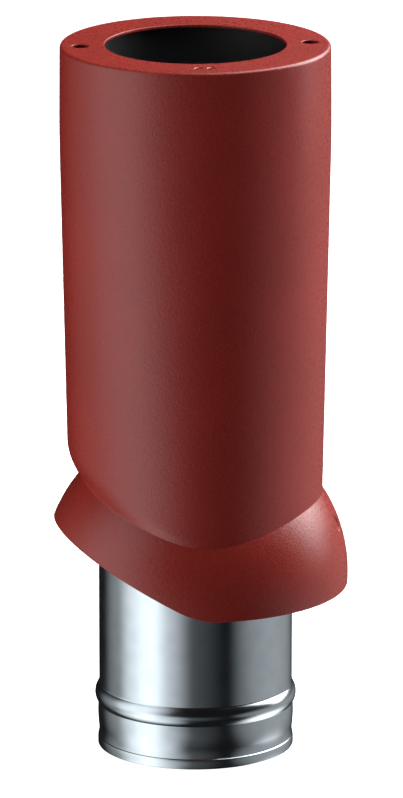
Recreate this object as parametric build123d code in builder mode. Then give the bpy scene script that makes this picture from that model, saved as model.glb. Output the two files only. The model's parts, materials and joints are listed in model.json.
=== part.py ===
from build123d import *

import os
from math import asin, cos, radians, sin, sqrt, tan

# Insulated roof outlet pipe: a moulded casing with a flat apertured top, standing on a domed
# weather skirt cut for a sloping roof, with a galvanised steel duct running down through it.
# All sizes are in millimetres. The origin is on the pipe's axis at the duct's lower rim, +Z runs
# up the pipe and +X points down the roof slope.

# ---- Driving dimensions --------------------------------------------------------------------

HEIGHT = 600.0  # duct's lower rim to the top plate's face

# Casing
CASING_R = 112.5  # widest radius of the casing
CASING_R_Z = 528.0  # height of that widest section
TOP_DRAFT = 0.5  # degrees of draft above the widest section
SLOPE_DRAFT = 1.2  # degrees by which the casing narrows downwards, seen from across the slope
CROSS_DRAFT = -0.68  # degrees by which it widens downwards, seen from down the slope
CASING_BASE_Z = 60.0  # where the casing's sides are drawn down to, before they are trimmed
CASING_WALL = 3.0
TOP_PLATE = 2.5
TOP_EDGE_R = 2.6
UNDERCUT_R = 40.0  # rounding of the casing's foot on its uphill side
UNDERCUT_TILT = 40.0  # degrees of the plane that the rounding runs into
UNDERCUT_Z = 247.0  # height of that plane where it crosses the uphill wall
UNDERCUT_X = -107.0

# Flue opening and cap interface in the top plate
OPENING_R = 75.0
PEG_HOLE_R = 7.0
PEG_SPACING = 190.0
LOCK_HOLE_R = 4.5
LOCK_HOLE_Z = HEIGHT - 31.0
LOCK_HOLE_REACH = 10.0  # how far its cut runs to either side of the casing's widest radius
MARK_RADIUS = 93.0  # distance of the two engraved arrowheads from the axis
MARK_PITCH = 10.5
MARK_SIZE = 7.0
MARK_STROKE = 1.2
MARK_DEPTH = 0.4

# Domed skirt
DOME_R = 127.6
DOME_Z = 149.5  # height of the sphere's centre
DOME_WALL = 3.0
RIM_Z = 140.5  # level part of the rim, downhill
RIM_SLOPE = 26.8  # degrees of the rim's uphill part, the same as the roof's pitch
RIM_CORNER_X = -7.3  # where the two parts of the rim would meet
RIM_BLEND_R = 80.0
NECK_R = 91.0
NECK_WALL = 3.0
NECK_TOP = 262.0
NECK_ROOT = 1.0  # how far the neck runs down into the dome
DIMPLE_R = 7.2
DIMPLE_DEPTH = 1.0
DIMPLE_Z = 195.0
DIMPLE_ANGLE = 14.0  # degrees either side of the downhill direction

# Steel duct
DUCT_R = 81.0  # outside radius of a duct for nominal 160 mm fittings
DUCT_WALL = 0.7
DUCT_TOP = 560.0
HEM_R = 82.0
HEM_TOP = 8.0
HEM_EDGE = 0.6  # bevel of the hem's lower edge
HEM_STEP = 0.3  # step from the hem up to the tube
SOCKET_TOP = 18.0  # end of the cylindrical socket at the duct's mouth
SWELL_R = 82.0  # slightly swollen stretch just below the bead
SWELL_Z = 32.0
BEAD_R = 84.4
BEAD_BOTTOM = 36.7
BEAD_CREST = 44.5
BEAD_TOP = 52.9
SLIDE_GAP = 0.3  # round the duct where a part guides it
MOUTH_GAP = 0.6  # round the duct at the mouths of the parts that it slides into

# Insulation shells
FOAM_R = 102.5
FOAM_BORE_R = 81.3
FOAM_BOTTOM = 266.0
FOAM_TOP = 556.0
FOAM_SPLIT_GAP = 0.5
FOAM_FIT = 0.4  # round the collar's socket
FOAM_END_GAP = 2.0  # below the collar's socket
BAND_THICKNESS = 0.6
BAND_WIDTH = 15.0
CLIP_LENGTH = 22.0
CLIP_OVERHANG = 1.0
CLIP_THICKNESS = 2.0
CLIP_SINK = 0.4  # how far a clip is pressed into its band
CLIP_ROUNDING = 1.5
BAND_HEIGHTS = (300.0, 380.0, 445.0, 525.0)

# Spacer ring between the two tiers of insulation
SPACER_BOTTOM = 410.0
SPACER_THICKNESS = 3.0
SPACER_R = 101.0
SPACER_ARM_R = 106.3
SPACER_ARM_WIDTH = 14.0
SPACER_ARMS = 6

# Collar that holds the duct's upper end under the top plate
COLLAR_R = 83.0
COLLAR_GUIDE_R = 84.5  # outside of the stretch that guides and rivets the duct's end
COLLAR_BORE_R = 80.0
COLLAR_TOP = HEIGHT - TOP_PLATE - 1.5
COLLAR_SOCKET_R = 87.6
COLLAR_BOTTOM = 520.0
COLLAR_EAR_Z = 579.0
COLLAR_EAR_THICKNESS = 3.0
COLLAR_EAR_WIDTH = 14.0
COLLAR_EAR_R = 100.5
COLLAR_EAR_ROOT = 1.0  # how far an ear runs into the collar's wall
COLLAR_SCREW_PCD_R = 92.5
COLLAR_LEDGE = 4.0  # below the seal's groove
COLLAR_SOCKET_ROOF = 2.0  # above the seal's groove
COLLAR_SHOULDER_GAP = 0.5  # above the duct's end
COLLAR_SHOULDER = 1.5
SEAL_GROOVE_R = 84.6
SEAL_HEIGHT = 20.0
SEAL_BACK = 2.0
LIP_OFFSET = 2.5  # each lip's tip above or below the seal's middle
LIP_ROOT = 3.0

# Peg sockets under the two holes in the top plate
PEG_SOCKET_R = 9.5
PEG_SOCKET_DEPTH = 36.0
PEG_SOCKET_FLOOR = 2.0
PEG_RING_WALL = 2.0
PEG_RING_DEPTH = 7.5
LOCK_ARM_R = 5.5
LOCK_ARM_LENGTH = 13.6
LOCK_PILOT_R = 2.0
LOCK_PILOT_LENGTH = 20.0

# Closing ring at the casing's foot
CLOSING_R = 103.5
CLOSING_THICKNESS = 3.5
CLOSING_SPIGOT_R = 87.7
CLOSING_SPIGOT_BOTTOM = 243.0
CLOSING_LEDGE = 2.0  # above and below the seal's groove

# Self-tapping screws
FOOT_SCREW_PCD_R = 99.0
BOSS_R = 4.5
FOOT_RIB_LENGTH = 16.0  # ribs that tie the foot's bosses to the casing's wall
FOOT_RIB_WIDTH = 3.0
SCREW_R = 1.7
SCREW_CLEARANCE_R = 2.2
SCREW_HEAD_R = 3.8
SCREW_HEAD_HEIGHT = 2.6
SCREW_HEAD_ROUNDING = 0.8
SCREW_TIP_GAP = 0.5  # left at the end of each pilot hole
CROSS_LENGTH = 4.4  # cross recess in the screw heads
CROSS_WIDTH = 1.0
CROSS_DEPTH = 1.4
PAD_R = 6.0
PAD_BOTTOM = 214.0
PAD_SINK = 0.5  # the pads end this far under the dome's outside
FOOT_SCREW_LENGTH = 24.0
RING_SCREW_LENGTH = 16.0
COLLAR_SCREW_LENGTH = 14.0
FOOT_SCREW_ANGLES = (70, 110, 250, 290)
COLLAR_SCREW_ANGLES = (45, 135, 225, 315)

# Blind rivets through the collar's socket and the duct
RIVET_R = 1.6
RIVET_HEAD_R = 3.2
RIVET_HEAD_HEIGHT = 1.0
RIVET_TAIL = 0.4
RIVET_Z = 554.0
RIVET_ANGLES = (90, 210, 330)

BIG = 400.0  # longer than anything that has to be cut through

# ---- Shared shapes -------------------------------------------------------------------------


def base_half_width(draft, inset):
    """Half-width of the casing where its sides are drawn down to."""
    return CASING_R - (CASING_R_Z - CASING_BASE_Z) * tan(radians(draft)) - inset


def casing_form(inset, top):
    """The casing's outline shrunk by inset and closed at height top, its uphill foot rounded."""
    up = Vector(sin(radians(UNDERCUT_TILT)), 0, cos(radians(UNDERCUT_TILT)))
    cut = Plane(origin=Vector(UNDERCUT_X, 0, UNDERCUT_Z) + up * inset, z_dir=up)
    with BuildPart() as form:
        with BuildSketch(Plane.XY.offset(CASING_BASE_Z)):
            Ellipse(base_half_width(SLOPE_DRAFT, inset), base_half_width(CROSS_DRAFT, inset))
        with BuildSketch(Plane.XY.offset(CASING_R_Z)):
            Circle(CASING_R - inset)
        loft(ruled=True)
        with BuildSketch(Plane.XY.offset(CASING_R_Z)):
            Circle(CASING_R - inset)
        with BuildSketch(Plane.XY.offset(top)):
            Circle(CASING_R - (top - CASING_R_Z) * tan(radians(TOP_DRAFT)) - inset)
        loft(ruled=True)
        split(bisect_by=cut, keep=Keep.TOP)
        fillet(form.faces().sort_by(Axis.Z)[0].edges(), radius=UNDERCUT_R - inset)
    return form.part


def ring(outer, inner, bottom, top):
    """A plain ring about the pipe's axis."""
    with BuildPart() as plain_ring:
        with BuildSketch(Plane.XY.offset(bottom)):
            Circle(outer)
            Circle(inner, mode=Mode.SUBTRACT)
        extrude(amount=top - bottom)
    return plain_ring.part


def turned(points):
    """A body turned about the pipe's axis from (radius, height) points."""
    with BuildPart() as body:
        with BuildSketch(Plane.XZ):
            with BuildLine():
                Polyline(*points, close=True)
            make_face()
        revolve(axis=Axis.Z)
    return body.part


def polar(radius, angle, height):
    """A point at a radius and an angle from the downhill direction."""
    return (radius * cos(radians(angle)), radius * sin(radians(angle)), height)


def dome_height(radius):
    """Height of the dome's surface at a distance from the axis."""
    return DOME_Z + sqrt(DOME_R**2 - radius**2)


def write(piece, name):
    """Label a finished piece and write it to its own file."""
    piece.label = name
    export_step(piece, f"parts/{name}.step")


os.makedirs("parts", exist_ok=True)

# ---- Casing --------------------------------------------------------------------------------

casing_outside = casing_form(0, HEIGHT)
casing_inside = casing_form(CASING_WALL, HEIGHT - TOP_PLATE)
plate_underside = HEIGHT - TOP_PLATE

# Ribbed bosses inside the foot, trimmed to the casing's own outline.
rib_bottom = dome_height(FOOT_SCREW_PCD_R + FOOT_RIB_LENGTH + BOSS_R)
with BuildPart() as foot_bosses:
    for angle in FOOT_SCREW_ANGLES:
        with BuildSketch(Plane.XY.offset(rib_bottom)):
            with Locations(Rotation(0, 0, angle)):
                with Locations((FOOT_SCREW_PCD_R, 0)):
                    Circle(BOSS_R)
                with Locations((FOOT_SCREW_PCD_R + FOOT_RIB_LENGTH / 2, 0)):
                    Rectangle(FOOT_RIB_LENGTH, FOOT_RIB_WIDTH)
        extrude(amount=NECK_TOP - rib_bottom)
    add(casing_outside, mode=Mode.INTERSECT)

with BuildPart() as casing:
    add(casing_outside)
    fillet(casing.faces().sort_by(Axis.Z)[-1].edges(), radius=TOP_EDGE_R)
    add(casing_inside, mode=Mode.SUBTRACT)
    add(foot_bosses.part)
    # Screw bosses and peg rings hang from the top plate.
    with BuildSketch(Plane.XY.offset(COLLAR_EAR_Z + COLLAR_EAR_THICKNESS)):
        for angle in COLLAR_SCREW_ANGLES:
            with Locations(polar(COLLAR_SCREW_PCD_R, angle, 0)[:2]):
                Circle(BOSS_R)
    extrude(amount=plate_underside - COLLAR_EAR_Z - COLLAR_EAR_THICKNESS)
    with BuildSketch(Plane.XY.offset(plate_underside - PEG_RING_DEPTH)):
        with GridLocations(PEG_SPACING, 0, 2, 1):
            Circle(PEG_SOCKET_R + PEG_RING_WALL)
            Circle(PEG_SOCKET_R, mode=Mode.SUBTRACT)
    extrude(amount=PEG_RING_DEPTH)
    # The foot sits on the dome.
    with Locations((0, 0, DOME_Z)):
        Sphere(DOME_R, mode=Mode.SUBTRACT)
    # Flue opening and peg holes.
    with BuildSketch(Plane.XY.offset(plate_underside)):
        Circle(OPENING_R)
        with GridLocations(PEG_SPACING, 0, 2, 1):
            Circle(PEG_HOLE_R)
    extrude(amount=TOP_PLATE, mode=Mode.SUBTRACT)
    # Lock-screw holes through the wall, one behind each peg hole.
    for side in (-1, 1):
        with BuildSketch(Plane.YZ.offset(side * (CASING_R - LOCK_HOLE_REACH))):
            with Locations((0, LOCK_HOLE_Z)):
                Circle(LOCK_HOLE_R)
        extrude(amount=side * 2 * LOCK_HOLE_REACH, mode=Mode.SUBTRACT)
    # Pilot holes for the self-tapping screws.
    with BuildSketch(Plane.XY.offset(COLLAR_EAR_Z + COLLAR_EAR_THICKNESS)):
        for angle in COLLAR_SCREW_ANGLES:
            with Locations(polar(COLLAR_SCREW_PCD_R, angle, 0)[:2]):
                Circle(SCREW_R)
    extrude(amount=COLLAR_SCREW_LENGTH - COLLAR_EAR_THICKNESS, mode=Mode.SUBTRACT)
    with BuildSketch(Plane.XY.offset(PAD_BOTTOM)):
        for angle in FOOT_SCREW_ANGLES:
            with Locations(polar(FOOT_SCREW_PCD_R, angle, 0)[:2]):
                Circle(SCREW_R)
    extrude(amount=FOOT_SCREW_LENGTH, mode=Mode.SUBTRACT)
    with BuildSketch(Plane.XY.offset(NECK_TOP)):
        for angle in FOOT_SCREW_ANGLES:
            with Locations(polar(FOOT_SCREW_PCD_R, angle, 0)[:2]):
                Circle(SCREW_R)
    extrude(amount=CLOSING_THICKNESS - RING_SCREW_LENGTH, mode=Mode.SUBTRACT)
    # Two arrowheads engraved in the front of the top plate, pointing at the opening.
    with BuildSketch(Plane.XY.offset(HEIGHT - MARK_DEPTH)):
        for side in (-1, 1):
            with BuildLine():
                middle = side * MARK_PITCH / 2
                Polyline(
                    (middle - MARK_SIZE / 2, -MARK_RADIUS - MARK_SIZE / 4),
                    (middle, -MARK_RADIUS + MARK_SIZE / 4),
                    (middle + MARK_SIZE / 2, -MARK_RADIUS - MARK_SIZE / 4),
                )
                offset(amount=MARK_STROKE / 2, side=Side.BOTH)
            make_face()
    extrude(amount=MARK_DEPTH, mode=Mode.SUBTRACT)
write(casing.part, "casing")

# ---- Roof skirt ----------------------------------------------------------------------------

dimple_tilt = asin((DIMPLE_Z - DOME_Z) / DOME_R)
with BuildPart() as roof_skirt:
    with Locations((0, 0, DOME_Z)):
        Sphere(DOME_R)
        Sphere(DOME_R - DOME_WALL, mode=Mode.SUBTRACT)
    # Flat pads under the shell for the screw heads.
    with BuildSketch(Plane.XY.offset(PAD_BOTTOM)):
        for angle in FOOT_SCREW_ANGLES:
            with Locations(polar(FOOT_SCREW_PCD_R, angle, 0)[:2]):
                Circle(PAD_R)
    extrude(amount=dome_height(FOOT_SCREW_PCD_R + PAD_R) - PAD_BOTTOM - PAD_SINK)
    with BuildSketch(Plane.XY.offset(PAD_BOTTOM)):
        for angle in FOOT_SCREW_ANGLES:
            with Locations(polar(FOOT_SCREW_PCD_R, angle, 0)[:2]):
                Circle(SCREW_CLEARANCE_R)
    extrude(amount=BIG, mode=Mode.SUBTRACT)
    # Neck that stands up inside the casing.
    with BuildSketch(Plane.XY.offset(dome_height(NECK_R) - NECK_ROOT)):
        Circle(NECK_R)
    extrude(amount=NECK_TOP - dome_height(NECK_R) + NECK_ROOT)
    with BuildSketch(Plane.XY.offset(DOME_Z)):
        Circle(NECK_R - NECK_WALL)
    extrude(amount=BIG, mode=Mode.SUBTRACT)
    # Rim: level downhill, parallel to the roof uphill, with a broad blend between.
    with BuildSketch(Plane.XZ):
        with BuildLine():
            rise = (BIG / 2 + RIM_CORNER_X) * tan(radians(RIM_SLOPE))
            FilletPolyline(
                (BIG / 2, RIM_Z),
                (RIM_CORNER_X, RIM_Z),
                (-BIG / 2, RIM_Z + rise),
                radius=RIM_BLEND_R,
            )
            Polyline(
                (-BIG / 2, RIM_Z + rise), (-BIG / 2, 0), (BIG / 2, 0), (BIG / 2, RIM_Z)
            )
        make_face()
    extrude(amount=BIG / 2, both=True, mode=Mode.SUBTRACT)
    # Two shallow spot faces on the downhill side mark where fixing screws go.
    for angle in (-DIMPLE_ANGLE, DIMPLE_ANGLE):
        outward = Vector(
            cos(dimple_tilt) * cos(radians(angle)),
            cos(dimple_tilt) * sin(radians(angle)),
            sin(dimple_tilt),
        )
        floor = Vector(0, 0, DOME_Z) + outward * (DOME_R - DIMPLE_DEPTH)
        with BuildSketch(Plane(origin=floor, z_dir=outward)):
            Circle(DIMPLE_R)
        extrude(amount=2 * DIMPLE_DEPTH, mode=Mode.SUBTRACT)
write(roof_skirt.part, "roof_skirt")

# ---- Steel duct ----------------------------------------------------------------------------

with BuildPart() as steel_duct:
    with BuildSketch(Plane.XZ):
        with BuildLine():
            bore = DUCT_R - DUCT_WALL
            Polyline(
                (bore, 0),
                (HEM_R - HEM_EDGE, 0),
                (HEM_R, 2 * HEM_EDGE),
                (DUCT_R + HEM_STEP, HEM_TOP - HEM_STEP),
                (DUCT_R, HEM_TOP),
                (DUCT_R, SOCKET_TOP),
                (SWELL_R, SWELL_Z),
                (SWELL_R, BEAD_BOTTOM),
            )
            ThreePointArc(
                (SWELL_R, BEAD_BOTTOM),
                (BEAD_R, BEAD_CREST),
                (DUCT_R, BEAD_TOP),
            )
            Polyline(
                (DUCT_R, BEAD_TOP), (DUCT_R, DUCT_TOP), (bore, DUCT_TOP), (bore, BEAD_TOP)
            )
            ThreePointArc(
                (bore, BEAD_TOP),
                (BEAD_R - DUCT_WALL, BEAD_CREST),
                (SWELL_R - DUCT_WALL, BEAD_BOTTOM),
            )
            Polyline(
                (SWELL_R - DUCT_WALL, BEAD_BOTTOM),
                (SWELL_R - DUCT_WALL, SWELL_Z),
                (bore, SOCKET_TOP),
                (bore, 0),
            )
        make_face()
    revolve(axis=Axis.Z)
    # Rivet holes near the upper end.
    for angle in RIVET_ANGLES:
        with BuildSketch(Plane(origin=(0, 0, RIVET_Z), z_dir=polar(1, angle, 0))):
            Circle(RIVET_R)
        extrude(amount=BIG / 4, mode=Mode.SUBTRACT)
write(steel_duct.part, "steel_duct")

# ---- Duct collar, its seal, gasket, screws and rivets ---------------------------------------

shoulder = DUCT_TOP + COLLAR_SHOULDER_GAP
groove_bottom = COLLAR_BOTTOM + COLLAR_LEDGE
groove_top = groove_bottom + SEAL_HEIGHT
socket_top = groove_top + COLLAR_SOCKET_ROOF
guide_bottom = socket_top + COLLAR_SOCKET_R - COLLAR_GUIDE_R
guide_top = shoulder + COLLAR_SHOULDER
collar_body = turned(
    [
        (COLLAR_BORE_R, COLLAR_TOP),
        (COLLAR_BORE_R, shoulder),
        (DUCT_R + SLIDE_GAP, shoulder),
        (DUCT_R + SLIDE_GAP, groove_top),
        (SEAL_GROOVE_R, groove_top),
        (SEAL_GROOVE_R, groove_bottom),
        (DUCT_R + MOUTH_GAP, groove_bottom),
        (DUCT_R + MOUTH_GAP, COLLAR_BOTTOM),
        (COLLAR_SOCKET_R, COLLAR_BOTTOM),
        (COLLAR_SOCKET_R, socket_top),
        (COLLAR_GUIDE_R, guide_bottom),
        (COLLAR_GUIDE_R, guide_top),
        (COLLAR_R, guide_top + COLLAR_GUIDE_R - COLLAR_R),
        (COLLAR_R, COLLAR_TOP),
    ]
)
ear_start = COLLAR_R - COLLAR_EAR_ROOT
with BuildPart() as duct_collar:
    add(collar_body)
    with BuildSketch(Plane.XY.offset(COLLAR_EAR_Z)):
        for angle in COLLAR_SCREW_ANGLES:
            with Locations(Rotation(0, 0, angle)):
                with Locations(((ear_start + COLLAR_EAR_R) / 2, 0)):
                    Rectangle(COLLAR_EAR_R - ear_start, COLLAR_EAR_WIDTH)
        for angle in COLLAR_SCREW_ANGLES:
            with Locations(polar(COLLAR_SCREW_PCD_R, angle, 0)[:2]):
                Circle(SCREW_CLEARANCE_R, mode=Mode.SUBTRACT)
    extrude(amount=COLLAR_EAR_THICKNESS)
    for angle in RIVET_ANGLES:
        with BuildSketch(Plane(origin=(0, 0, RIVET_Z), z_dir=polar(1, angle, 0))):
            Circle(RIVET_R)
        extrude(amount=BIG / 4, mode=Mode.SUBTRACT)
write(duct_collar.part, "duct_collar")

write(ring(COLLAR_R, COLLAR_BORE_R, COLLAR_TOP, plate_underside), "collar_gasket")


def lip_seal(bottom, height):
    """A ring seal whose two lips touch the duct and whose back fills its groove."""
    front = SEAL_GROOVE_R - SEAL_BACK
    middle = bottom + height / 2
    return turned(
        [
            (SEAL_GROOVE_R, bottom),
            (SEAL_GROOVE_R, bottom + height),
            (front, bottom + height),
            (front, middle + LIP_OFFSET + LIP_ROOT / 2),
            (DUCT_R, middle + LIP_OFFSET),
            (front, middle + LIP_OFFSET - LIP_ROOT / 2),
            (front, middle - LIP_OFFSET + LIP_ROOT / 2),
            (DUCT_R, middle - LIP_OFFSET),
            (front, middle - LIP_OFFSET - LIP_ROOT / 2),
            (front, bottom),
        ]
    )


write(lip_seal(groove_bottom, SEAL_HEIGHT), "collar_seal")

with BuildPart() as collar_screws:
    with BuildSketch(Plane.XY.offset(COLLAR_EAR_Z - SCREW_HEAD_HEIGHT)):
        for angle in COLLAR_SCREW_ANGLES:
            with Locations(polar(COLLAR_SCREW_PCD_R, angle, 0)[:2]):
                Circle(SCREW_HEAD_R)
    extrude(amount=SCREW_HEAD_HEIGHT)
    with BuildSketch(Plane.XY.offset(COLLAR_EAR_Z)):
        for angle in COLLAR_SCREW_ANGLES:
            with Locations(polar(COLLAR_SCREW_PCD_R, angle, 0)[:2]):
                Circle(SCREW_R)
    extrude(amount=COLLAR_SCREW_LENGTH - SCREW_TIP_GAP)
write(collar_screws.part, "collar_screws")

with BuildPart() as duct_rivets:
    for angle in RIVET_ANGLES:
        outward = polar(1, angle, 0)
        # The shank, set just inside the duct, and the head on the collar.
        inner_end = DUCT_R - DUCT_WALL - RIVET_TAIL
        with BuildSketch(Plane(origin=polar(inner_end, angle, RIVET_Z), z_dir=outward)):
            Circle(RIVET_R)
        extrude(amount=COLLAR_GUIDE_R - inner_end)
        with BuildSketch(Plane(origin=polar(COLLAR_GUIDE_R, angle, RIVET_Z), z_dir=outward)):
            Circle(RIVET_HEAD_R)
        extrude(amount=RIVET_HEAD_HEIGHT)
write(duct_rivets.part, "duct_rivets")

# ---- Peg sockets under the top plate --------------------------------------------------------

for side, name in ((-1, "peg_socket_uphill"), (1, "peg_socket_downhill")):
    peg_x = side * PEG_SPACING / 2
    with BuildPart() as peg_socket:
        with BuildSketch(Plane.XY.offset(plate_underside - PEG_SOCKET_DEPTH)):
            with Locations((peg_x, 0)):
                Circle(PEG_SOCKET_R)
        extrude(amount=PEG_SOCKET_DEPTH)
        # Arm that reaches the wall behind the lock-screw hole.
        with BuildSketch(Plane.YZ.offset(peg_x)):
            with Locations((0, LOCK_HOLE_Z)):
                Circle(LOCK_ARM_R)
        extrude(amount=side * LOCK_ARM_LENGTH)
        with BuildSketch(Plane.XY.offset(plate_underside - PEG_SOCKET_DEPTH + PEG_SOCKET_FLOOR)):
            with Locations((peg_x, 0)):
                Circle(PEG_HOLE_R)
        extrude(amount=PEG_SOCKET_DEPTH, mode=Mode.SUBTRACT)
        with BuildSketch(Plane.YZ.offset(peg_x)):
            with Locations((0, LOCK_HOLE_Z)):
                Circle(LOCK_PILOT_R)
        extrude(amount=side * LOCK_PILOT_LENGTH, mode=Mode.SUBTRACT)
    write(peg_socket.part, name)

# ---- Closing ring, its seal and screws ------------------------------------------------------

closing_top = NECK_TOP + CLOSING_THICKNESS
closing_groove_bottom = CLOSING_SPIGOT_BOTTOM + CLOSING_LEDGE
closing_groove_top = NECK_TOP - CLOSING_LEDGE
closing_body = turned(
    [
        (DUCT_R + SLIDE_GAP, closing_top),
        (CLOSING_R, closing_top),
        (CLOSING_R, NECK_TOP),
        (CLOSING_SPIGOT_R, NECK_TOP),
        (CLOSING_SPIGOT_R, CLOSING_SPIGOT_BOTTOM),
        (DUCT_R + MOUTH_GAP, CLOSING_SPIGOT_BOTTOM),
        (DUCT_R + MOUTH_GAP, closing_groove_bottom),
        (SEAL_GROOVE_R, closing_groove_bottom),
        (SEAL_GROOVE_R, closing_groove_top),
        (DUCT_R + SLIDE_GAP, closing_groove_top),
    ]
)
with BuildPart() as closing_ring:
    add(closing_body)
    for angle in FOOT_SCREW_ANGLES:
        with Locations(polar(FOOT_SCREW_PCD_R, angle, closing_top)):
            CounterSinkHole(
                radius=SCREW_CLEARANCE_R,
                counter_sink_radius=SCREW_HEAD_R,
                counter_sink_angle=90,
                depth=CLOSING_THICKNESS,
            )
write(closing_ring.part, "closing_ring")

closing_seal = lip_seal(closing_groove_bottom, closing_groove_top - closing_groove_bottom)
write(closing_seal, "closing_seal")

with BuildPart() as closing_ring_screws:
    for angle in FOOT_SCREW_ANGLES:
        head_centre = polar(FOOT_SCREW_PCD_R, angle, closing_top)
        with BuildSketch(Plane(origin=head_centre, x_dir=(1, 0, 0), z_dir=(0, -1, 0))):
            with BuildLine():
                Polyline(
                    (0, 0),
                    (SCREW_HEAD_R, 0),
                    (SCREW_R, SCREW_R - SCREW_HEAD_R),
                    (SCREW_R, SCREW_TIP_GAP - RING_SCREW_LENGTH),
                    (0, SCREW_TIP_GAP - RING_SCREW_LENGTH),
                    close=True,
                )
            make_face()
        revolve(axis=Axis(head_centre, (0, 0, 1)))
write(closing_ring_screws.part, "closing_ring_screws")

# ---- Screws that hold the skirt up to the casing ---------------------------------------------

with BuildPart() as skirt_screws:
    with BuildSketch(Plane.XY.offset(PAD_BOTTOM - SCREW_HEAD_HEIGHT)):
        for angle in FOOT_SCREW_ANGLES:
            with Locations(polar(FOOT_SCREW_PCD_R, angle, 0)[:2]):
                Circle(SCREW_HEAD_R)
    extrude(amount=SCREW_HEAD_HEIGHT)
    fillet(skirt_screws.faces().sort_by(Axis.Z)[:4].edges(), radius=SCREW_HEAD_ROUNDING)
    with BuildSketch(Plane.XY.offset(PAD_BOTTOM - SCREW_HEAD_HEIGHT)):
        for angle in FOOT_SCREW_ANGLES:
            with Locations(polar(FOOT_SCREW_PCD_R, angle, 0)[:2]):
                Rectangle(CROSS_LENGTH, CROSS_WIDTH)
                Rectangle(CROSS_WIDTH, CROSS_LENGTH)
    extrude(amount=CROSS_DEPTH, mode=Mode.SUBTRACT)
    with BuildSketch(Plane.XY.offset(PAD_BOTTOM)):
        for angle in FOOT_SCREW_ANGLES:
            with Locations(polar(FOOT_SCREW_PCD_R, angle, 0)[:2]):
                Circle(SCREW_R)
    extrude(amount=FOOT_SCREW_LENGTH - SCREW_TIP_GAP)
write(skirt_screws.part, "skirt_screws")

# ---- Insulation shells, bands and spacer -----------------------------------------------------

tiers = (
    ("lower", FOAM_BOTTOM, SPACER_BOTTOM),
    ("upper", SPACER_BOTTOM + SPACER_THICKNESS, FOAM_TOP),
)
recess_bottom = COLLAR_BOTTOM - FOAM_END_GAP
for tier, bottom, top in tiers:
    for half, front in (("front", -1), ("rear", 1)):
        with BuildPart() as shell:
            with BuildSketch(Plane.XY.offset(bottom)):
                Circle(FOAM_R)
                Circle(FOAM_BORE_R, mode=Mode.SUBTRACT)
                with Locations((0, -front * (BIG / 2 - FOAM_SPLIT_GAP / 2))):
                    Rectangle(BIG, BIG, mode=Mode.SUBTRACT)
            extrude(amount=top - bottom)
            # Room for the collar's socket at the very top.
            with BuildSketch(Plane.XY.offset(recess_bottom)):
                Circle(COLLAR_SOCKET_R + FOAM_FIT)
            extrude(amount=BIG, mode=Mode.SUBTRACT)
        write(shell.part, f"insulation_{tier}_{half}")

band_r = FOAM_R + BAND_THICKNESS
for number, height in enumerate(BAND_HEIGHTS, start=1):
    with BuildPart() as band:
        add(ring(band_r, FOAM_R, height - BAND_WIDTH / 2, height + BAND_WIDTH / 2))
        # Crimped clip that closes the band at the back.
        with BuildSketch(Plane.XZ.offset(CLIP_SINK - band_r)):
            with Locations((0, height)):
                RectangleRounded(CLIP_LENGTH, BAND_WIDTH + 2 * CLIP_OVERHANG, CLIP_ROUNDING)
        extrude(amount=-CLIP_THICKNESS)
    write(band.part, f"insulation_band_{number}")

with BuildPart() as spacer_ring:
    with BuildSketch(Plane.XY.offset(SPACER_BOTTOM)):
        Circle(SPACER_R)
        with PolarLocations(SPACER_ARM_R / 2, SPACER_ARMS):
            Rectangle(SPACER_ARM_R, SPACER_ARM_WIDTH)
        Circle(FOAM_BORE_R, mode=Mode.SUBTRACT)
    extrude(amount=SPACER_THICKNESS)
write(spacer_ring.part, "spacer_ring")
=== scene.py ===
import json
import math

import bmesh
import bpy
import numpy as np
from mathutils import Matrix, Vector


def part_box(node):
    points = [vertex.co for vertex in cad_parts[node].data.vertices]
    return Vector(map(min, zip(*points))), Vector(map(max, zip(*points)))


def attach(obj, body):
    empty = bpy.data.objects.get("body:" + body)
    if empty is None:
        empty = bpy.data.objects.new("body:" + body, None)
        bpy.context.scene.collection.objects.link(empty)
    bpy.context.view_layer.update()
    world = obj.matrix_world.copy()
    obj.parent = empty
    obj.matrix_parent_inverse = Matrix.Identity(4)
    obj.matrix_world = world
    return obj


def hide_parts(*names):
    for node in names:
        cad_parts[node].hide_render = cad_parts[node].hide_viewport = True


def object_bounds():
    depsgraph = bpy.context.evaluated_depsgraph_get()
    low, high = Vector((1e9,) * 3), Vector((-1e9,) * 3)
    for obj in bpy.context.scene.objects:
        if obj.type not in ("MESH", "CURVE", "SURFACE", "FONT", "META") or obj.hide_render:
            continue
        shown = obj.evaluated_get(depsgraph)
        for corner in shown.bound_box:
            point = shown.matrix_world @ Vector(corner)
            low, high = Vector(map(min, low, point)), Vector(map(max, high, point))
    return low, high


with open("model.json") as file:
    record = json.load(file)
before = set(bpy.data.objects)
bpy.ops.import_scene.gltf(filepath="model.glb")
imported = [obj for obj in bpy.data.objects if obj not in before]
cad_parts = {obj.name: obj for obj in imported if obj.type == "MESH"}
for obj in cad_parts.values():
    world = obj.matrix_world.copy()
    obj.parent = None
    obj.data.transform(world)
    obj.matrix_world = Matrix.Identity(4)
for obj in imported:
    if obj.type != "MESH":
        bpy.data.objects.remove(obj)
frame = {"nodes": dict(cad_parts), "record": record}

# Insulated roof vent pipe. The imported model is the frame: its nodes stay where they are, the three
# pieces that are seen from outside are rebuilt here as finer meshes, and every node gets a
# procedural material. All lengths are in metres, +Z runs up the pipe and +X points down the slope.

cad_low, cad_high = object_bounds()
mm = 0.001

# ---- Sizes of the visible shapes -------------------------------------------------------------

HEIGHT = cad_high.z
AROUND = 360  # points round the pipe in the turned meshes

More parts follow.
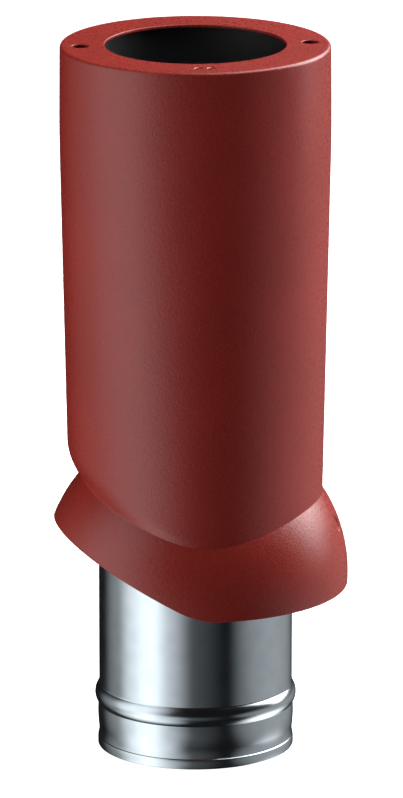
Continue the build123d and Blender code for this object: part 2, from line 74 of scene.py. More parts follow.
# Casing
CASING_R = 112.5 * mm
WIDEST_Z = 528 * mm  # height of the widest section
TOP_TAPER = math.tan(math.radians(0.5))
SLOPE_TAPER = math.tan(math.radians(1.2))  # narrowing downwards, across the slope
CROSS_TAPER = math.tan(math.radians(-0.77))  # widening downwards, along the slope
SQUARENESS = 0.0051  # how fast the sections turn from an ellipse towards a flattened one
TAPER_BLEND = 9 * mm  # half-height over which the tapers run into one another
WALL = 3 * mm
TOP_PLATE = 2.5 * mm
TOP_EDGE_R = 2.6 * mm
OPENING_R = 75 * mm
OPENING_EDGE_R = 0.7 * mm
PEG_X = 95 * mm
PEG_HOLE_R = 7 * mm
LOCK_HOLE_R = 4.5 * mm
LOCK_HOLE_Z = HEIGHT - 31 * mm
HOLE_EDGE_R = 0.6 * mm
MARK_RADIUS = 93 * mm  # distance of the two engraved arrowheads from the axis
MARK_PITCH = 10.5 * mm
MARK_SIZE = 7 * mm
MARK_STROKE = 1.2 * mm
MARK_DEPTH = 0.4 * mm
PEG_RING_R = 11.5 * mm  # rings under the top plate that hold the peg sockets
PEG_SOCKET_R = 9.5 * mm
PEG_RING_DEPTH = 7.5 * mm
BOSS_R = 4.5 * mm
PILOT_R = 1.7 * mm
PLATE_BOSS_R = 92.5 * mm  # distance of the bosses under the top plate from the axis
PLATE_BOSS_LENGTH = 15.5 * mm
PLATE_PILOT = 11 * mm
PLATE_BOSS_ANGLES = (45, 135, 225, 315)
RIB_LENGTH = 11.5 * mm
RIB_WIDTH = 3 * mm
UNDERCUT_TILT = math.radians(40)
UNDERCUT_R = 45 * mm
UNDERCUT_X = -107 * mm
UNDERCUT_Z = 243.9 * mm
SEAM_BLEND_R = 1.8 * mm

# Domed skirt
DOME_R = 127.6 * mm
DOME_Z = 149.5 * mm
RIM_Z = 140.5 * mm
RIM_SLOPE = math.radians(26.8)
RIM_CORNER_X = -7.3 * mm
RIM_BLEND_R = 80 * mm
RIM_EDGE_R = 0.8 * mm
NECK_R = 91 * mm
NECK_TOP = 262 * mm
PAD_R = 6 * mm
PAD_BOTTOM = 214 * mm
FOOT_SCREW_R = 99 * mm
FOOT_SCREW_ANGLES = (70, 110, 250, 290)
SPOT_R = 7.2 * mm
SPOT_DEPTH = 1.0 * mm
SPOT_Z = 195 * mm
SPOT_ANGLE = 14

# Steel duct: (radius, height) points where its outside changes form
SHEET = 0.7 * mm
TUBE_R = 81 * mm
BEAD_START = (TUBE_R, 52.9 * mm)
BEAD_CREST = (84.4 * mm, 44.5 * mm)
BEAD_END = (81.7 * mm, 36.9 * mm)
SWELL_START = (81.75 * mm, 35.9 * mm)
SWELL_CREST = (82 * mm, 29 * mm)
SWELL_END = (81.1 * mm, 15.5 * mm)
NECK_FOOT = (81.0 * mm, 11.5 * mm)
HEM_GROOVE = (81.05 * mm, 8.6 * mm)
HEM_TOP = (81.75 * mm, 8.0 * mm)
HEM_BULGE = (82.0 * mm, 5.5 * mm)
HEM_FOOT = (81.95 * mm, 0)

# Studio: angles in degrees, counted round the pipe from the camera's side
CAMERA_AZIMUTH = -4.8
LIGHT_DISTANCE = 2.5

# ---- Mesh helpers ------------------------------------------------------------------------------

azimuth = np.linspace(0, 2 * math.pi, AROUND, endpoint=False)


def link(name, mesh):
    """A scene object that carries a mesh."""
    made = bpy.data.objects.new(name, mesh)
    bpy.context.scene.collection.objects.link(made)
    return made


def unit(vectors):
    """The same vectors at length 1."""
    return vectors / np.linalg.norm(vectors, axis=-1, keepdims=True)


def section(*corners):
    """Corners as (radius, height, rounding), each a number or one value per azimuth."""
    return [
        (np.stack(np.broadcast_arrays(r, z, 0 * azimuth)[:2], axis=-1).astype(float), rounding)
        for r, z, rounding in corners
    ]


def rounded(corners, steps=6):
    """Rows of (radius, height) points that follow closed corners, each turned by an arc."""
    rows = []
    for i, (corner, rounding) in enumerate(corners):
        back = unit(corners[i - 1][0] - corner)
        on = unit(corners[(i + 1) % len(corners)][0] - corner)
        if rounding == 0:
            rows.append(corner)
            continue
        angle = np.arccos(np.clip((back * on).sum(-1, keepdims=True), -1, 0.9999))
        turn = math.pi - angle
        centre = corner + unit(back + on) * rounding / np.sin(angle / 2)
        reach = rounding / np.tan(angle / 2)
        first = corner + back * reach - centre
        last = corner + on * reach - centre
        for k in np.linspace(0, 1, steps + 1):
            rows.append(centre + (np.sin((1 - k) * turn) * first + np.sin(k * turn) * last) / np.sin(turn))
    return rows


def subdivided(rows, longest):
    """The same closed rows with extra ones wherever two lie further apart than longest."""
    out = []
    for i, row in enumerate(rows):
        following = rows[(i + 1) % len(rows)]
        length = np.linalg.norm(following - row, axis=-1).max()
        parts = max(1, math.ceil(length / longest))
        out.append(row)
        if parts > 1:
            # A row close to each end keeps the arcs' shading out of the flat stretches.
            margin = min(0.5 * mm / length, 0.25)
            for share in (margin, *np.linspace(0, 1, parts + 1)[1:-1], 1 - margin):
                out.append(row + (following - row) * share)
    return out


def shell(name, rows):
    """A closed mesh from rows of (radius, height) points, one ring of points for each row."""
    rings = np.array([
        np.stack([row[:, 0] * np.cos(azimuth), row[:, 0] * np.sin(azimuth), row[:, 1]], axis=-1)
        for row in rows
    ])
    count = len(rings)
    index = np.arange(count * AROUND).reshape(count, AROUND)
    beside = np.roll(index, -1, axis=1)
    quads = np.stack([index, beside, np.roll(beside, -1, axis=0), np.roll(index, -1, axis=0)], axis=-1)
    mesh = bpy.data.meshes.new(name)
    mesh.from_pydata(rings.reshape(-1, 3).tolist(), [], quads.reshape(-1, 4).tolist())
    mesh.shade_smooth()
    made = link(name, mesh)
    outward(made)
    return made


def outward(piece):
    """Turns every face of a closed mesh to look outwards."""
    work = bmesh.new()
    work.from_mesh(piece.data)
    bmesh.ops.recalc_face_normals(work, faces=work.faces)
    work.to_mesh(piece.data)
    work.free()


def turned_tool(profile, matrix, around=64):
    """A small turned solid, from (radius, height) points that start and end on its axis."""
    work = bmesh.new()
    rings = []
    for r, z in profile:
        if r == 0:
            rings.append([work.verts.new((0, 0, z))])
        else:
            turns = [2 * math.pi * k / around for k in range(around)]
            rings.append([work.verts.new((r * math.cos(t), r * math.sin(t), z)) for t in turns])
    for low, high in zip(rings, rings[1:]):
        for k in range(around):
            corners = [low[k % len(low)], low[(k + 1) % len(low)]]
            corners += [high[(k + 1) % len(high)], high[k % len(high)]]
            work.faces.new(list(dict.fromkeys(corners)))
    bmesh.ops.recalc_face_normals(work, faces=work.faces)
    mesh = bpy.data.meshes.new("tool")
    work.to_mesh(mesh)
    work.free()
    mesh.shade_smooth()
    mesh.transform(matrix)
    return mesh


def drill(radius, edge, depth):
    """Profile of a hole cutter whose mouth, at height 0, opens with a rounded edge."""
    arc = [
        (radius + edge * (1 - math.cos(t)), edge * (math.sin(t) - 1))
        for t in np.linspace(0, math.pi / 2, 7)
    ]
    arc[-1] = (arc[-1][0], 0.02 * mm)
    return [(0, -depth), (radius, -depth), *arc, (radius + edge, depth), (0, depth)]


def prism(outline, low, high):
    """An upright solid on an outline of (x, y) points. Its floor lies at low(x, y), its roof at high."""
    work = bmesh.new()
    floor = [work.verts.new((x, y, low(x, y))) for x, y in outline]
    roof = [work.verts.new((x, y, high)) for x, y in outline]
    for k in range(len(outline)):
        work.faces.new((floor[k - 1], floor[k], roof[k], roof[k - 1]))
    work.faces.new(floor)
    work.faces.new(roof)
    bmesh.ops.triangulate(work, faces=work.faces)
    bmesh.ops.recalc_face_normals(work, faces=work.faces)
    mesh = bpy.data.meshes.new("tool")
    work.to_mesh(mesh)
    work.free()
    return mesh


def combine(piece, tools, operation):
    """Joins small solids, clear of one another, to a mesh, or cuts them out of it."""
    work = bmesh.new()
    for tool in tools:
        work.from_mesh(tool)
    helper = link("helper", bpy.data.meshes.new("helper"))
    work.to_mesh(helper.data)
    work.free()
    modifier = piece.modifiers.new("shape", "BOOLEAN")
    modifier.operation = operation
    modifier.solver = "EXACT"
    modifier.object = helper
    made = bpy.data.meshes.new_from_object(piece.evaluated_get(bpy.context.evaluated_depsgraph_get()))
    piece.modifiers.clear()
    piece.data = made
    bpy.data.objects.remove(helper)


def facing(direction, place):
    """A matrix that turns +Z to a direction and moves the origin to a place."""
    turn = Vector(direction).to_track_quat("Z", "Y").to_matrix().to_4x4()
    return Matrix.Translation(place) @ turn


def polar(radius, degrees, height=0.0):
    """The place at a radius, an angle and a height."""
    turn = math.radians(degrees)
    return Vector((radius * math.cos(turn), radius * math.sin(turn), height))


# ---- Casing ------------------------------------------------------------------------------------


def casing_radius(height):
    """Radius of the casing's outside at each azimuth, for one height per azimuth."""
    below = TAPER_BLEND * np.logaddexp(0, (WIDEST_Z - height) / TAPER_BLEND)
    above = TAPER_BLEND * np.logaddexp(0, (height - WIDEST_Z) / TAPER_BLEND)
    across = CASING_R - SLOPE_TAPER * below
    along = CASING_R - CROSS_TAPER * below
    ellipse = across * along / np.hypot(along * np.cos(azimuth), across * np.sin(azimuth))
    wall = ellipse - SQUARENESS * below * np.sin(2 * azimuth) ** 2 - TOP_TAPER * above
    # The uphill foot rounds in along an arc that starts where it leaves the wall.
    rise = np.maximum(-np.cos(azimuth), 0.02) * math.tan(UNDERCUT_TILT)
    edge = UNDERCUT_Z - math.tan(UNDERCUT_TILT) * (wall * np.cos(azimuth) - UNDERCUT_X)
    turn = np.arctan2(1, rise)
    start = edge + UNDERCUT_R * np.tan(turn / 2)
    end = start - UNDERCUT_R * np.sin(turn)
    into_arc = np.clip(start - height, 0, UNDERCUT_R * np.sin(turn))
    arc = UNDERCUT_R - np.sqrt(UNDERCUT_R**2 - into_arc**2)
    straight = np.maximum(end - height, 0) / rise
    return wall - arc - straight


def seam_height():
    """Height at which the casing's outside meets the dome, at each azimuth."""
    low = np.full(AROUND, DOME_Z + 5 * mm)
    high = np.full(AROUND, DOME_Z + DOME_R)
    for _ in range(50):
        middle = (low + high) / 2
        inside = np.hypot(casing_radius(middle), middle - DOME_Z) < DOME_R
        low = np.where(inside, middle, low)
        high = np.where(inside, high, middle)
    return (low + high) / 2


def make_casing():
    """The red upper shell, from its foot on the dome up to the top plate and its opening."""
    seam = seam_height()
    foot = casing_radius(seam)
    blend_top = seam + 6 * mm
    # The foot's outer edge spreads a little over the dome, so that the two run into each other.
    spread = 1.5 * SEAM_BLEND_R
    normal = np.stack([foot, seam - DOME_Z], axis=-1) / DOME_R
    toe_r = foot + normal[:, 1] * spread - 0.12 * mm * normal[:, 0]
    toe_z = seam - normal[:, 0] * spread - 0.12 * mm * normal[:, 1]
    plate_z = HEIGHT - TOP_PLATE
    top_r = casing_radius(HEIGHT + 0 * azimuth)
    inner_top = casing_radius(plate_z + 0 * azimuth) - WALL
    side_top = HEIGHT - 4 * mm
    heel = foot - WALL - 4 * mm
    heel_z = DOME_Z + np.sqrt(DOME_R**2 - heel**2)
    corners = section(
        (toe_r, toe_z, 0),
        (foot, seam, SEAM_BLEND_R),
        (casing_radius(blend_top), blend_top, 0),
        (casing_radius(side_top + 0 * azimuth), side_top, 0),
        (top_r, HEIGHT, TOP_EDGE_R),
        (OPENING_R, HEIGHT, OPENING_EDGE_R),
        (OPENING_R, plate_z, 0.3 * mm),
        (inner_top, plate_z, 1.5 * mm),
        (inner_top, plate_z - 6 * mm, 0),
        (heel, heel_z + 12 * mm, 0),
        (heel, heel_z - 0.12 * mm, 0),
    )
    rows = rounded(corners, steps=7)
    # Rows up the side follow the casing's own form instead of a straight line.
    first = next(i for i, row in enumerate(rows) if row is corners[2][0])
    side = [
        blend_top + (side_top - blend_top) * share
        for share in np.linspace(0, 1, 90) ** 1.35
    ]
    rows[first:first + 2] = [np.stack([casing_radius(z), z], axis=-1) for z in side]
    inner = next(i for i, row in enumerate(rows) if row is corners[8][0])
    inner_side = [plate_z - 6 * mm + (heel_z + 12 * mm - plate_z + 6 * mm) * s for s in np.linspace(0, 1, 40)]
    rows[inner:inner + 2] = [
        np.stack([np.minimum(casing_radius(z) - WALL, inner_top), z], axis=-1) for z in inner_side
    ]
    casing = shell("casing_shell", subdivided(rows, 12 * mm))
    combine(casing, casing_bosses(plate_z), "UNION")
    combine(casing, casing_cuts(plate_z), "DIFFERENCE")
    return casing


def casing_bosses(plate_z):
    """Screw bosses and peg rings under the top plate, and ribbed screw bosses in the foot."""
    into_plate = 1 * mm
    ring = [(0, -PEG_RING_DEPTH), (PEG_RING_R, -PEG_RING_DEPTH), (PEG_RING_R, into_plate), (0, into_plate)]
    boss = [(0, -PLATE_BOSS_LENGTH), (BOSS_R, -PLATE_BOSS_LENGTH), (BOSS_R, into_plate), (0, into_plate)]
    tools = [turned_tool(ring, Matrix.Translation((side * PEG_X, 0, plate_z))) for side in (-1, 1)]
    for angle in PLATE_BOSS_ANGLES:
        tools.append(turned_tool(boss, Matrix.Translation(polar(PLATE_BOSS_R, angle, plate_z))))
    half_rib = math.asin(RIB_WIDTH / 2 / BOSS_R)
    for angle in FOOT_SCREW_ANGLES:
        turns = np.linspace(half_rib, 2 * math.pi - half_rib, 40)
        outline = [(FOOT_SCREW_R + BOSS_R * math.cos(t), BOSS_R * math.sin(t)) for t in turns]
        outline += [(FOOT_SCREW_R + RIB_LENGTH, -RIB_WIDTH / 2), (FOOT_SCREW_R + RIB_LENGTH, RIB_WIDTH / 2)]
        tool = prism(outline, dome_top, NECK_TOP)
        tool.transform(Matrix.Rotation(math.radians(angle), 4, "Z"))
        tools.append(tool)
    return tools


def dome_top(x, y):
    """Height just above the dome's outside."""
    return DOME_Z + math.sqrt(DOME_R**2 - x**2 - y**2) + 0.1 * mm


def casing_cuts(plate_z):
    """Peg holes, lock-screw holes, pilot holes and the two engraved arrowheads."""
    tools = []
    rounded_end = drill(PEG_HOLE_R, HOLE_EDGE_R, 8 * mm)[2:]
    bore = [
        (0, -12 * mm), (PEG_SOCKET_R, -12 * mm), (PEG_SOCKET_R, -TOP_PLATE), (PEG_HOLE_R, -TOP_PLATE)
    ]
    for side_x in (-1, 1):
        tools.append(turned_tool(bore + rounded_end, Matrix.Translation((side_x * PEG_X, 0, HEIGHT))))
        wall_x = side_x * (CASING_R - TOP_TAPER * (LOCK_HOLE_Z - WIDEST_Z))
        tools.append(turned_tool(
            drill(LOCK_HOLE_R, HOLE_EDGE_R, 8 * mm), facing((side_x, 0, 0), (wall_x, 0, LOCK_HOLE_Z))
        ))
        middle = side_x * MARK_PITCH / 2
        reach = MARK_SIZE / 2
        stroke = MARK_STROKE / math.cos(math.atan(0.5 * MARK_SIZE / reach)) / 2
        tip = reach / 2
        arrow = [
            (-reach, stroke - tip), (0, stroke + tip), (reach, stroke - tip),
            (reach, -stroke - tip), (0, tip - stroke), (-reach, -stroke - tip),
        ]
        outline = [(middle + x, y - MARK_RADIUS) for x, y in arrow]
        tools.append(prism(outline, lambda x, y: HEIGHT - MARK_DEPTH, HEIGHT + 1 * mm))
    pilots = [(PLATE_BOSS_R, angle, plate_z - PLATE_BOSS_LENGTH) for angle in PLATE_BOSS_ANGLES]
    pilot = [(0, -1 * mm), (PILOT_R, -1 * mm), (PILOT_R, PLATE_PILOT), (0, PLATE_PILOT)]
    for place in pilots:
        tools.append(turned_tool(pilot, Matrix.Translation(polar(*place)), around=24))
    foot = [(0, 190 * mm), (PILOT_R, 190 * mm), (PILOT_R, 270 * mm), (0, 270 * mm)]
    for angle in FOOT_SCREW_ANGLES:
        tools.append(turned_tool(foot, Matrix.Translation(polar(FOOT_SCREW_R, angle)), around=24))
    return tools


# ---- Roof skirt --------------------------------------------------------------------------------


def rim_height(x):
    """Height of the skirt's cut lower edge: level downhill, sloping uphill, blended between."""
    level_end = RIM_CORNER_X + RIM_BLEND_R * math.tan(RIM_SLOPE / 2)
    slope_start = level_end - RIM_BLEND_R * math.sin(RIM_SLOPE)
    into_arc = np.clip(level_end - x, 0, level_end - slope_start)
    arc = RIM_BLEND_R - np.sqrt(RIM_BLEND_R**2 - into_arc**2)
    return RIM_Z + arc + np.maximum(slope_start - x, 0) * math.tan(RIM_SLOPE)


def rim_angle(radius):
    """Angle from the top, on a sphere about the dome's centre, at which it meets the rim."""
    low = np.zeros(AROUND)
    high = np.full(AROUND, math.pi * 0.6)
    for _ in range(50):
        middle = (low + high) / 2
        z = DOME_Z + radius * np.cos(middle)
        above = z > rim_height(radius * np.sin(middle) * np.cos(azimuth))
        low = np.where(above, middle, low)
        high = np.where(above, high, middle)
    return (low + high) / 2


def on_dome(radius, angle):
    """Radius and height of the point at an angle from the top of a sphere about the dome's centre."""
    return radius * np.sin(angle), DOME_Z + radius * np.cos(angle)


def make_skirt():
    """The red domed skirt, with its neck, sloping rim, screw pads and screw spots."""
    inner_r = DOME_R - WALL
    outer_rim = rim_angle(DOME_R)
    inner_rim = rim_angle(inner_r)
    outer_start = math.asin(NECK_R / DOME_R)
    inner_start = math.asin((NECK_R - WALL) / inner_r)
    step = 1.2 * mm  # the rim's arcs start this far from its corners, on the dome itself
    corners = section(
        (NECK_R, NECK_TOP, 0.8 * mm),
        (*on_dome(DOME_R, outer_start + 0 * azimuth), 1.5 * mm),
        (*on_dome(DOME_R, outer_start + 4 * mm / DOME_R + 0 * azimuth), 0),
        (*on_dome(DOME_R, outer_rim - step / DOME_R), 0),
        (*on_dome(DOME_R, outer_rim), RIM_EDGE_R),
        (*on_dome(inner_r, inner_rim), RIM_EDGE_R),
        (*on_dome(inner_r, inner_rim - step / inner_r), 0),
        (*on_dome(inner_r, inner_start + 4 * mm / inner_r + 0 * azimuth), 0),
        (*on_dome(inner_r, inner_start + 0 * azimuth), 1.0 * mm),
        (NECK_R - WALL, NECK_TOP, 0.8 * mm),
    )
    rows = rounded(corners, steps=6)
    spans = (
        (corners[2][0], DOME_R, outer_start + 4 * mm / DOME_R, outer_rim - step / DOME_R),
        (corners[6][0], inner_r, inner_rim - step / inner_r, inner_start + 4 * mm / inner_r),
    )
    for start_row, radius, start, end in spans:
        at = next(i for i, row in enumerate(rows) if row is start_row)
        rows[at:at + 2] = [
            np.stack(on_dome(radius, start + (end - start) * share), axis=-1)
            for share in np.linspace(0, 1, 60)
        ]
    skirt = shell("skirt_shell", subdivided(rows, 8 * mm))

    pads = []
    for angle in FOOT_SCREW_ANGLES:
        roof = DOME_Z + math.sqrt(inner_r**2 - FOOT_SCREW_R**2)
        height = roof - PAD_BOTTOM
        pads.append(turned_tool(
            [(0, -height), (PAD_R - 0.6 * mm, -height), (PAD_R, 0.6 * mm - height), (PAD_R, 0), (0, 0)],
            Matrix.Translation(polar(FOOT_SCREW_R, angle, roof)),
        ))
    combine(skirt, pads, "UNION")
    spots = []
    tilt = math.asin((SPOT_Z - DOME_Z) / DOME_R)
    for side in (-1, 1):
        turn = math.radians(side * SPOT_ANGLE)
        out = Vector((math.cos(tilt) * math.cos(turn), math.cos(tilt) * math.sin(turn), math.sin(tilt)))
        floor = Vector((0, 0, DOME_Z)) + out * (DOME_R - SPOT_DEPTH)
        profile = [
            (0, 0), (SPOT_R - 0.4 * mm, 0), (SPOT_R - 0.12 * mm, 0.12 * mm),
            (SPOT_R, 0.4 * mm), (SPOT_R, 4 * mm), (0, 4 * mm),
        ]
        spots.append(turned_tool(profile, facing(out, floor)))
    combine(skirt, spots, "DIFFERENCE")
    return skirt


# ---- Steel duct --------------------------------------------------------------------------------


def arc_through(start, middle, end, steps):
    """Points of the arc through three (radius, height) points, both ends included."""
    a, b, c = (complex(*p) for p in (start, middle, end))
    ratio = (c - a) / (b - a)
    centre = a + (b - a) * ((abs(ratio) ** 2 - ratio) / (ratio.conjugate() - ratio))
    sweep = np.angle((c - centre) / (a - centre))
    around = [centre + (a - centre) * np.exp(1j * sweep * k / steps) for k in range(steps + 1)]
    return [(p.real, p.imag) for p in around]


def make_duct():
    """The steel duct: a thin tube with a bead, a swollen neck and a hemmed end."""
    duct_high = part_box("steel_duct")[1]
    outside = [
        (TUBE_R, duct_high.z, 0.2 * mm),
        (TUBE_R, BEAD_START[1] + 1.3 * mm, 0),
    ]
    bead = arc_through(BEAD_START, BEAD_CREST, BEAD_END, 20)
    outside += [(r, z, 1.6 * mm if i == 0 else 0) for i, (r, z) in enumerate(bead[:-1])]
    outside += [(*bead[-1], 0.5 * mm)]
    outside += [(r, z, 0) for r, z in arc_through(SWELL_START, SWELL_CREST, SWELL_END, 12)]
    outside += [
        (*NECK_FOOT, 0),
        (*HEM_GROOVE, 0.25 * mm),
        (*HEM_TOP, 0.3 * mm),
        (*HEM_BULGE, 0),
        (*HEM_FOOT, 0.75 * mm),
    ]
    inside = [(r - SHEET, z, 0) for r, z, _ in reversed(outside[1:-4])]
    inside = [(TUBE_R - SHEET, 0, 0.4 * mm)] + inside + [(TUBE_R - SHEET, duct_high.z, 0.2 * mm)]
    return shell("duct_tube", subdivided(rounded(section(*outside, *inside), steps=5), 12 * mm))


# ---- Materials ---------------------------------------------------------------------------------


class Nodes:
    """Short ways to add and join shader nodes in one material."""

    def __init__(self, name):
        self.material = bpy.data.materials.new(name)
        self.material.use_nodes = True
        self.tree = self.material.node_tree
        self.shader = self.tree.nodes["Principled BSDF"]
        self.place = self.add("ShaderNodeTexCoord").outputs["Object"]

    def add(self, kind, **settings):
        node = self.tree.nodes.new(kind)
        for key, value in settings.items():
            setattr(node, key, value)
        return node

    def join(self, source, target):
        self.tree.links.new(source, target)

    def noise(self, scale, detail=3.0, stretch=(1, 1, 1)):
        mapping = self.add("ShaderNodeMapping")
        mapping.inputs["Scale"].default_value = stretch
        self.join(self.place, mapping.inputs["Vector"])
        texture = self.add("ShaderNodeTexNoise")
        texture.inputs["Scale"].default_value = scale
        texture.inputs["Detail"].default_value = detail
        self.join(mapping.outputs["Vector"], texture.inputs["Vector"])
        return texture.outputs["Fac"]

    def cells(self, scale, feature="F1"):
        texture = self.add("ShaderNodeTexVoronoi", feature=feature)
        texture.inputs["Scale"].default_value = scale
        self.join(self.place, texture.inputs["Vector"])
        return texture.outputs["Distance"]

    def between(self, value, low, high, target):
        """Maps a 0 to 1 value onto a range of numbers."""
        ranged = self.add("ShaderNodeMapRange")
        ranged.inputs["From Min"].default_value = 0.3
        ranged.inputs["From Max"].default_value = 0.7
        ranged.inputs["To Min"].default_value = low
        ranged.inputs["To Max"].default_value = high
        self.join(value, ranged.inputs["Value"])
        self.join(ranged.outputs["Result"], target)

    def tones(self, value, *stops):
        """Maps a value onto colours at given positions, for the base colour."""
        ramp = self.add("ShaderNodeValToRGB")
        elements = ramp.color_ramp.elements
        while len(elements) < len(stops):
            elements.new(0.5)
        for element, (position, colour) in zip(elements, stops):
            element.position = position
            element.color = (*colour, 1)
        self.join(value, ramp.inputs["Fac"])
        return ramp.outputs["Color"]

    def bump(self, *layers):
        """Stacks (height, distance) layers of fine relief on the surface."""
        below = None
        for height, distance in layers:
            node = self.add("ShaderNodeBump")
            node.inputs["Strength"].default_value = 1.0
            node.inputs["Distance"].default_value = distance
            self.join(height, node.inputs["Height"])
            if below:
                self.join(below, node.inputs["Normal"])
            below = node.outputs["Normal"]
        self.join(below, self.shader.inputs["Normal"])


def moulded_plastic(name, dark, light, roughness, grain, depth):
    """Moulded plastic with a fine leather-like grain, slight blotches and tiny pores."""
    nodes = Nodes(name)
    blotches = nodes.noise(14, 4)
    nodes.join(
        nodes.tones(blotches, (0.3, dark), (0.7, light)), nodes.shader.inputs["Base Color"]
    )
    pebbles = nodes.noise(grain, 2)
    mottle = nodes.noise(grain * 0.7, 2)
    nodes.between(mottle, roughness - 0.05, roughness + 0.07, nodes.shader.inputs["Roughness"])
    nodes.bump((pebbles, depth), (nodes.noise(grain * 3.1, 1), depth * 0.3))
    nodes.shader.inputs["Specular IOR Level"].default_value = 0.5
    return nodes.material


def sheet_steel(name, dark, light, roughness):
    """Zinc-coated sheet: soft spangles, faint rolling marks round the tube and a cool tint."""
    nodes = Nodes(name)
    spangle = nodes.cells(70)
    nodes.join(nodes.tones(spangle, (0.1, dark), (0.75, light)), nodes.shader.inputs["Base Color"])
    nodes.between(nodes.noise(60, 4), roughness - 0.02, roughness + 0.03, nodes.shader.inputs["Roughness"])
    nodes.bump((nodes.noise(12, 1, (1, 1, 2)), 0.00001), (nodes.noise(600, 2, (1, 1, 5)), 0.000003))
    nodes.shader.inputs["Metallic"].default_value = 1.0
    return nodes.material


def bead_foam(name):
    """Expanded bead foam: rounded grains with darker lines where they are fused."""
    nodes = Nodes(name)
    grains = nodes.cells(260)
    nodes.join(
        nodes.tones(grains, (0.0, (0.62, 0.62, 0.6)), (0.8, (0.36, 0.36, 0.35))),
        nodes.shader.inputs["Base Color"],
    )
    nodes.between(nodes.noise(300, 2), 0.75, 0.9, nodes.shader.inputs["Roughness"])
    nodes.bump((grains, -0.0008), (nodes.noise(900, 2), 0.0001))
    return nodes.material


def soft_rubber(name):
    """Black rubber with a dull bloom and fine mould marks."""
    nodes = Nodes(name)
    nodes.join(
        nodes.tones(nodes.noise(40, 4), (0.3, (0.012, 0.012, 0.013)), (0.75, (0.03, 0.03, 0.031))),
        nodes.shader.inputs["Base Color"],
    )
    nodes.between(nodes.noise(220, 3), 0.6, 0.8, nodes.shader.inputs["Roughness"])
    nodes.bump((nodes.noise(1200, 2), 0.00005))
    return nodes.material


def woven_band(name):
    """Polypropylene strapping with the pressed waffle that such bands have."""
    nodes = Nodes(name)
    nodes.join(
        nodes.tones(nodes.noise(90, 3), (0.3, (0.02, 0.022, 0.024)), (0.7, (0.045, 0.047, 0.05))),
        nodes.shader.inputs["Base Color"],
    )
    waves = nodes.add("ShaderNodeTexWave", wave_type="BANDS", bands_direction="Z")
    waves.inputs["Scale"].default_value = 180
    nodes.join(nodes.place, waves.inputs["Vector"])
    nodes.between(nodes.noise(300, 2), 0.35, 0.5, nodes.shader.inputs["Roughness"])
    nodes.bump((waves.outputs["Fac"], 0.00015), (nodes.noise(800, 2), 0.00004))
    return nodes.material


def plated_steel(name):
    """Bright zinc plate on screws and rivets, with small dull patches."""
    nodes = Nodes(name)
    nodes.join(
        nodes.tones(nodes.noise(160, 4), (0.3, (0.42, 0.43, 0.42)), (0.7, (0.66, 0.67, 0.65))),
        nodes.shader.inputs["Base Color"],
    )
    nodes.between(nodes.noise(400, 3), 0.22, 0.4, nodes.shader.inputs["Roughness"])
    nodes.bump((nodes.noise(1500, 2), 0.00003))
    nodes.shader.inputs["Metallic"].default_value = 1.0
    return nodes.material


materials = {
    "red_plastic": moulded_plastic(
        "red_plastic_grain", (0.30, 0.026, 0.018), (0.35, 0.029, 0.021), 0.29, 620, 0.00024
    ),
    "galvanised_steel": sheet_steel("galvanised_sheet", (0.50, 0.565, 0.61), (0.54, 0.605, 0.65), 0.18),
    # This near-black plastic is partly painted shade: on the collar inside the opening it darkens the inner
    # wall to the deep shade down the pipe.
    "black_plastic": moulded_plastic(
        "black_plastic_grain_and_painted_shade", (0.012, 0.012, 0.013), (0.022, 0.022, 0.023), 0.4, 700, 0.0001
    ),
    "foam": bead_foam("bead_foam"),
    "rubber": soft_rubber("seal_rubber"),
    "zinc_plated_steel": plated_steel("zinc_plate"),
    "band_plastic": woven_band("strapping"),
}

# ---- Pieces and CAD nodes ----------------------------------------------------------------------

node_slot = {part["node"]: part["material_slot"] for part in frame["record"]["subparts"]}
for node, obj in frame["nodes"].items():
    obj.data.materials.clear()
    obj.data.materials.append(materials[node_slot[node]])

pieces = (
    (make_casing(), "casing"),
    (make_skirt(), "roof_skirt"),
    (make_duct(), "steel_duct"),
)
for piece, node in pieces:
    piece.data.materials.clear()
    piece.data.materials.append(materials[node_slot[node]])
    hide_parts(node)
    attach(piece, "root")

# ---- Studio ------------------------------------------------------------------------------------


def make_floor():
    """A pale, evenly bright studio floor under the duct's rim, which the steel doesn't mirror."""
    bpy.ops.mesh.primitive_grid_add(x_subdivisions=40, y_subdivisions=40, size=30, location=(0, 0, -0.6 * mm))
    floor = bpy.context.object
    floor.name = "studio_floor"
    nodes = Nodes("floor_paint")
    nodes.join(
        nodes.tones(nodes.noise(2, 2), (0.3, (0.93, 0.93, 0.93)), (0.7, (0.95, 0.95, 0.95))),
        nodes.shader.inputs["Base Color"],
    )
    nodes.shader.inputs["Roughness"].default_value = 0.9
    nodes.shader.inputs["Emission Color"].default_value = (1, 1, 1, 1)
    nodes.shader.inputs["Emission Strength"].default_value = 1.0
    floor.data.materials.append(nodes.material)
    floor.visible_diffuse = False
    floor.visible_glossy = False
    floor.visible_shadow = False


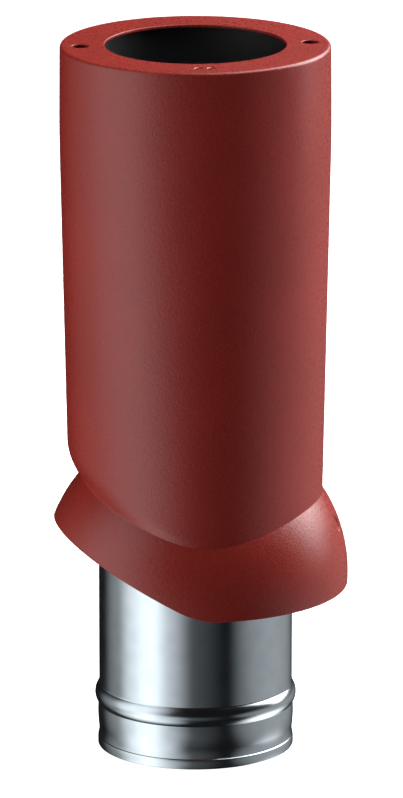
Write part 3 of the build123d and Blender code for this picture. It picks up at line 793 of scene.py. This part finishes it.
def softbox(name, angle, elevation, wide, tall, radiance, edge=1.0):
    """A soft light on a sphere round the pipe, from the camera's side at angle 0. It spans wide by tall
    degrees, and its brightness falls off towards its edges over the given share."""
    light = bpy.data.lights.new(name, "AREA")
    light.shape = "RECTANGLE"
    light.size = 2 * LIGHT_DISTANCE * math.tan(math.radians(wide / 2))
    light.size_y = 2 * LIGHT_DISTANCE * math.tan(math.radians(tall / 2))
    light.energy = radiance * math.pi * light.size * light.size_y
    light.use_nodes = True
    tree = light.node_tree
    place = tree.nodes.new("ShaderNodeNewGeometry")
    centred = tree.nodes.new("ShaderNodeVectorMath")
    centred.operation = "MULTIPLY_ADD"
    centred.inputs[1].default_value = (2, 2, 0)
    centred.inputs[2].default_value = (-1, -1, 0)
    gradient = tree.nodes.new("ShaderNodeTexGradient")
    gradient.gradient_type = "SPHERICAL"
    falloff = tree.nodes.new("ShaderNodeMapRange")
    falloff.interpolation_type = "SMOOTHSTEP"
    falloff.inputs["From Max"].default_value = edge
    tree.links.new(place.outputs["Parametric"], centred.inputs[0])
    tree.links.new(centred.outputs["Vector"], gradient.inputs["Vector"])
    tree.links.new(gradient.outputs["Fac"], falloff.inputs["Value"])
    tree.links.new(falloff.outputs["Result"], tree.nodes["Emission"].inputs["Strength"])
    lamp = bpy.data.objects.new(name, light)
    bpy.context.scene.collection.objects.link(lamp)
    a, e = math.radians(angle + CAMERA_AZIMUTH), math.radians(elevation)
    back = Vector((math.sin(a) * math.cos(e), -math.cos(a) * math.cos(e), math.sin(e)))
    lamp.location = (cad_low + cad_high) / 2 + back * LIGHT_DISTANCE
    lamp.rotation_mode = "QUATERNION"
    lamp.rotation_quaternion = back.to_track_quat("Z", "Y")


# Name, angle round from the camera's side, elevation, width, height, radiance, share of fall-off
PANELS = (
    ("left_main", -68, 10, 84, 120, 1.65, 0.9),
    ("left_front", -40, -20, 72, 46, 0.95),
    ("left_edge", -105, -8, 70, 80, 0.4),
    ("left_low", -64, -46, 88, 56, 1.7),
    ("left_tail", -10, -22, 90, 44, 0.1),
    ("right_low", 103, -20, 128, 60, 0.5),
    ("under_right", 110, -48, 70, 50, 2.8),
    ("key_foot", 108, 4, 32, 24, 3.0),
    ("key_low", 118, 18, 60, 40, 6.0),
    ("key_mid", 112, 32, 60, 50, 4.5),
    ("key_main", 125, 40, 80, 80, 3.6),
    ("key_side", 98, 44, 44, 40, 1.2),
    ("key_back", 145, 35, 60, 60, 3.5),
    ("key_high", 120, 62, 60, 50, 3.5),
    ("top", 100, 80, 50, 50, 2.0),
    ("top_front", 62, 66, 30, 26, 7.0),
)

make_floor()
for panel in PANELS:
    softbox(*panel)

# White behind the object for the camera, and almost no light from around it.
world = bpy.data.worlds.new("studio")
bpy.context.scene.world = world
world.use_nodes = True
tree = world.node_tree
background = tree.nodes["Background"]
background.inputs["Color"].default_value = (0.8, 0.85, 0.9, 1)
background.inputs["Strength"].default_value = 0.01
white = tree.nodes.new("ShaderNodeBackground")
white.inputs["Color"].default_value = (1, 1, 1, 1)
white.inputs["Strength"].default_value = 1.5
seen = tree.nodes.new("ShaderNodeLightPath")
mix = tree.nodes.new("ShaderNodeMixShader")
tree.links.new(seen.outputs["Is Camera Ray"], mix.inputs["Fac"])
tree.links.new(background.outputs["Background"], mix.inputs[1])
tree.links.new(white.outputs["Background"], mix.inputs[2])
tree.links.new(mix.outputs["Shader"], tree.nodes["World Output"].inputs["Surface"])
bpy.context.scene.view_settings.view_transform = "Standard"

camera = bpy.data.objects.new("camera", bpy.data.cameras.new("camera"))
bpy.context.scene.collection.objects.link(camera)
bpy.context.scene.camera = camera
camera.location = (-0.540, -6.430, 2.021)
aim = Vector((0.00498, -0.00042, 0.2976)) - camera.location
camera.rotation_euler = aim.to_track_quat("-Z", "Y").to_euler()
camera.data.sensor_width = 36
camera.data.lens = 361.9
camera.data.clip_end = 100

# ---- Last update of the scene --------------------------------------------------------------------

bpy.context.view_layer.update()
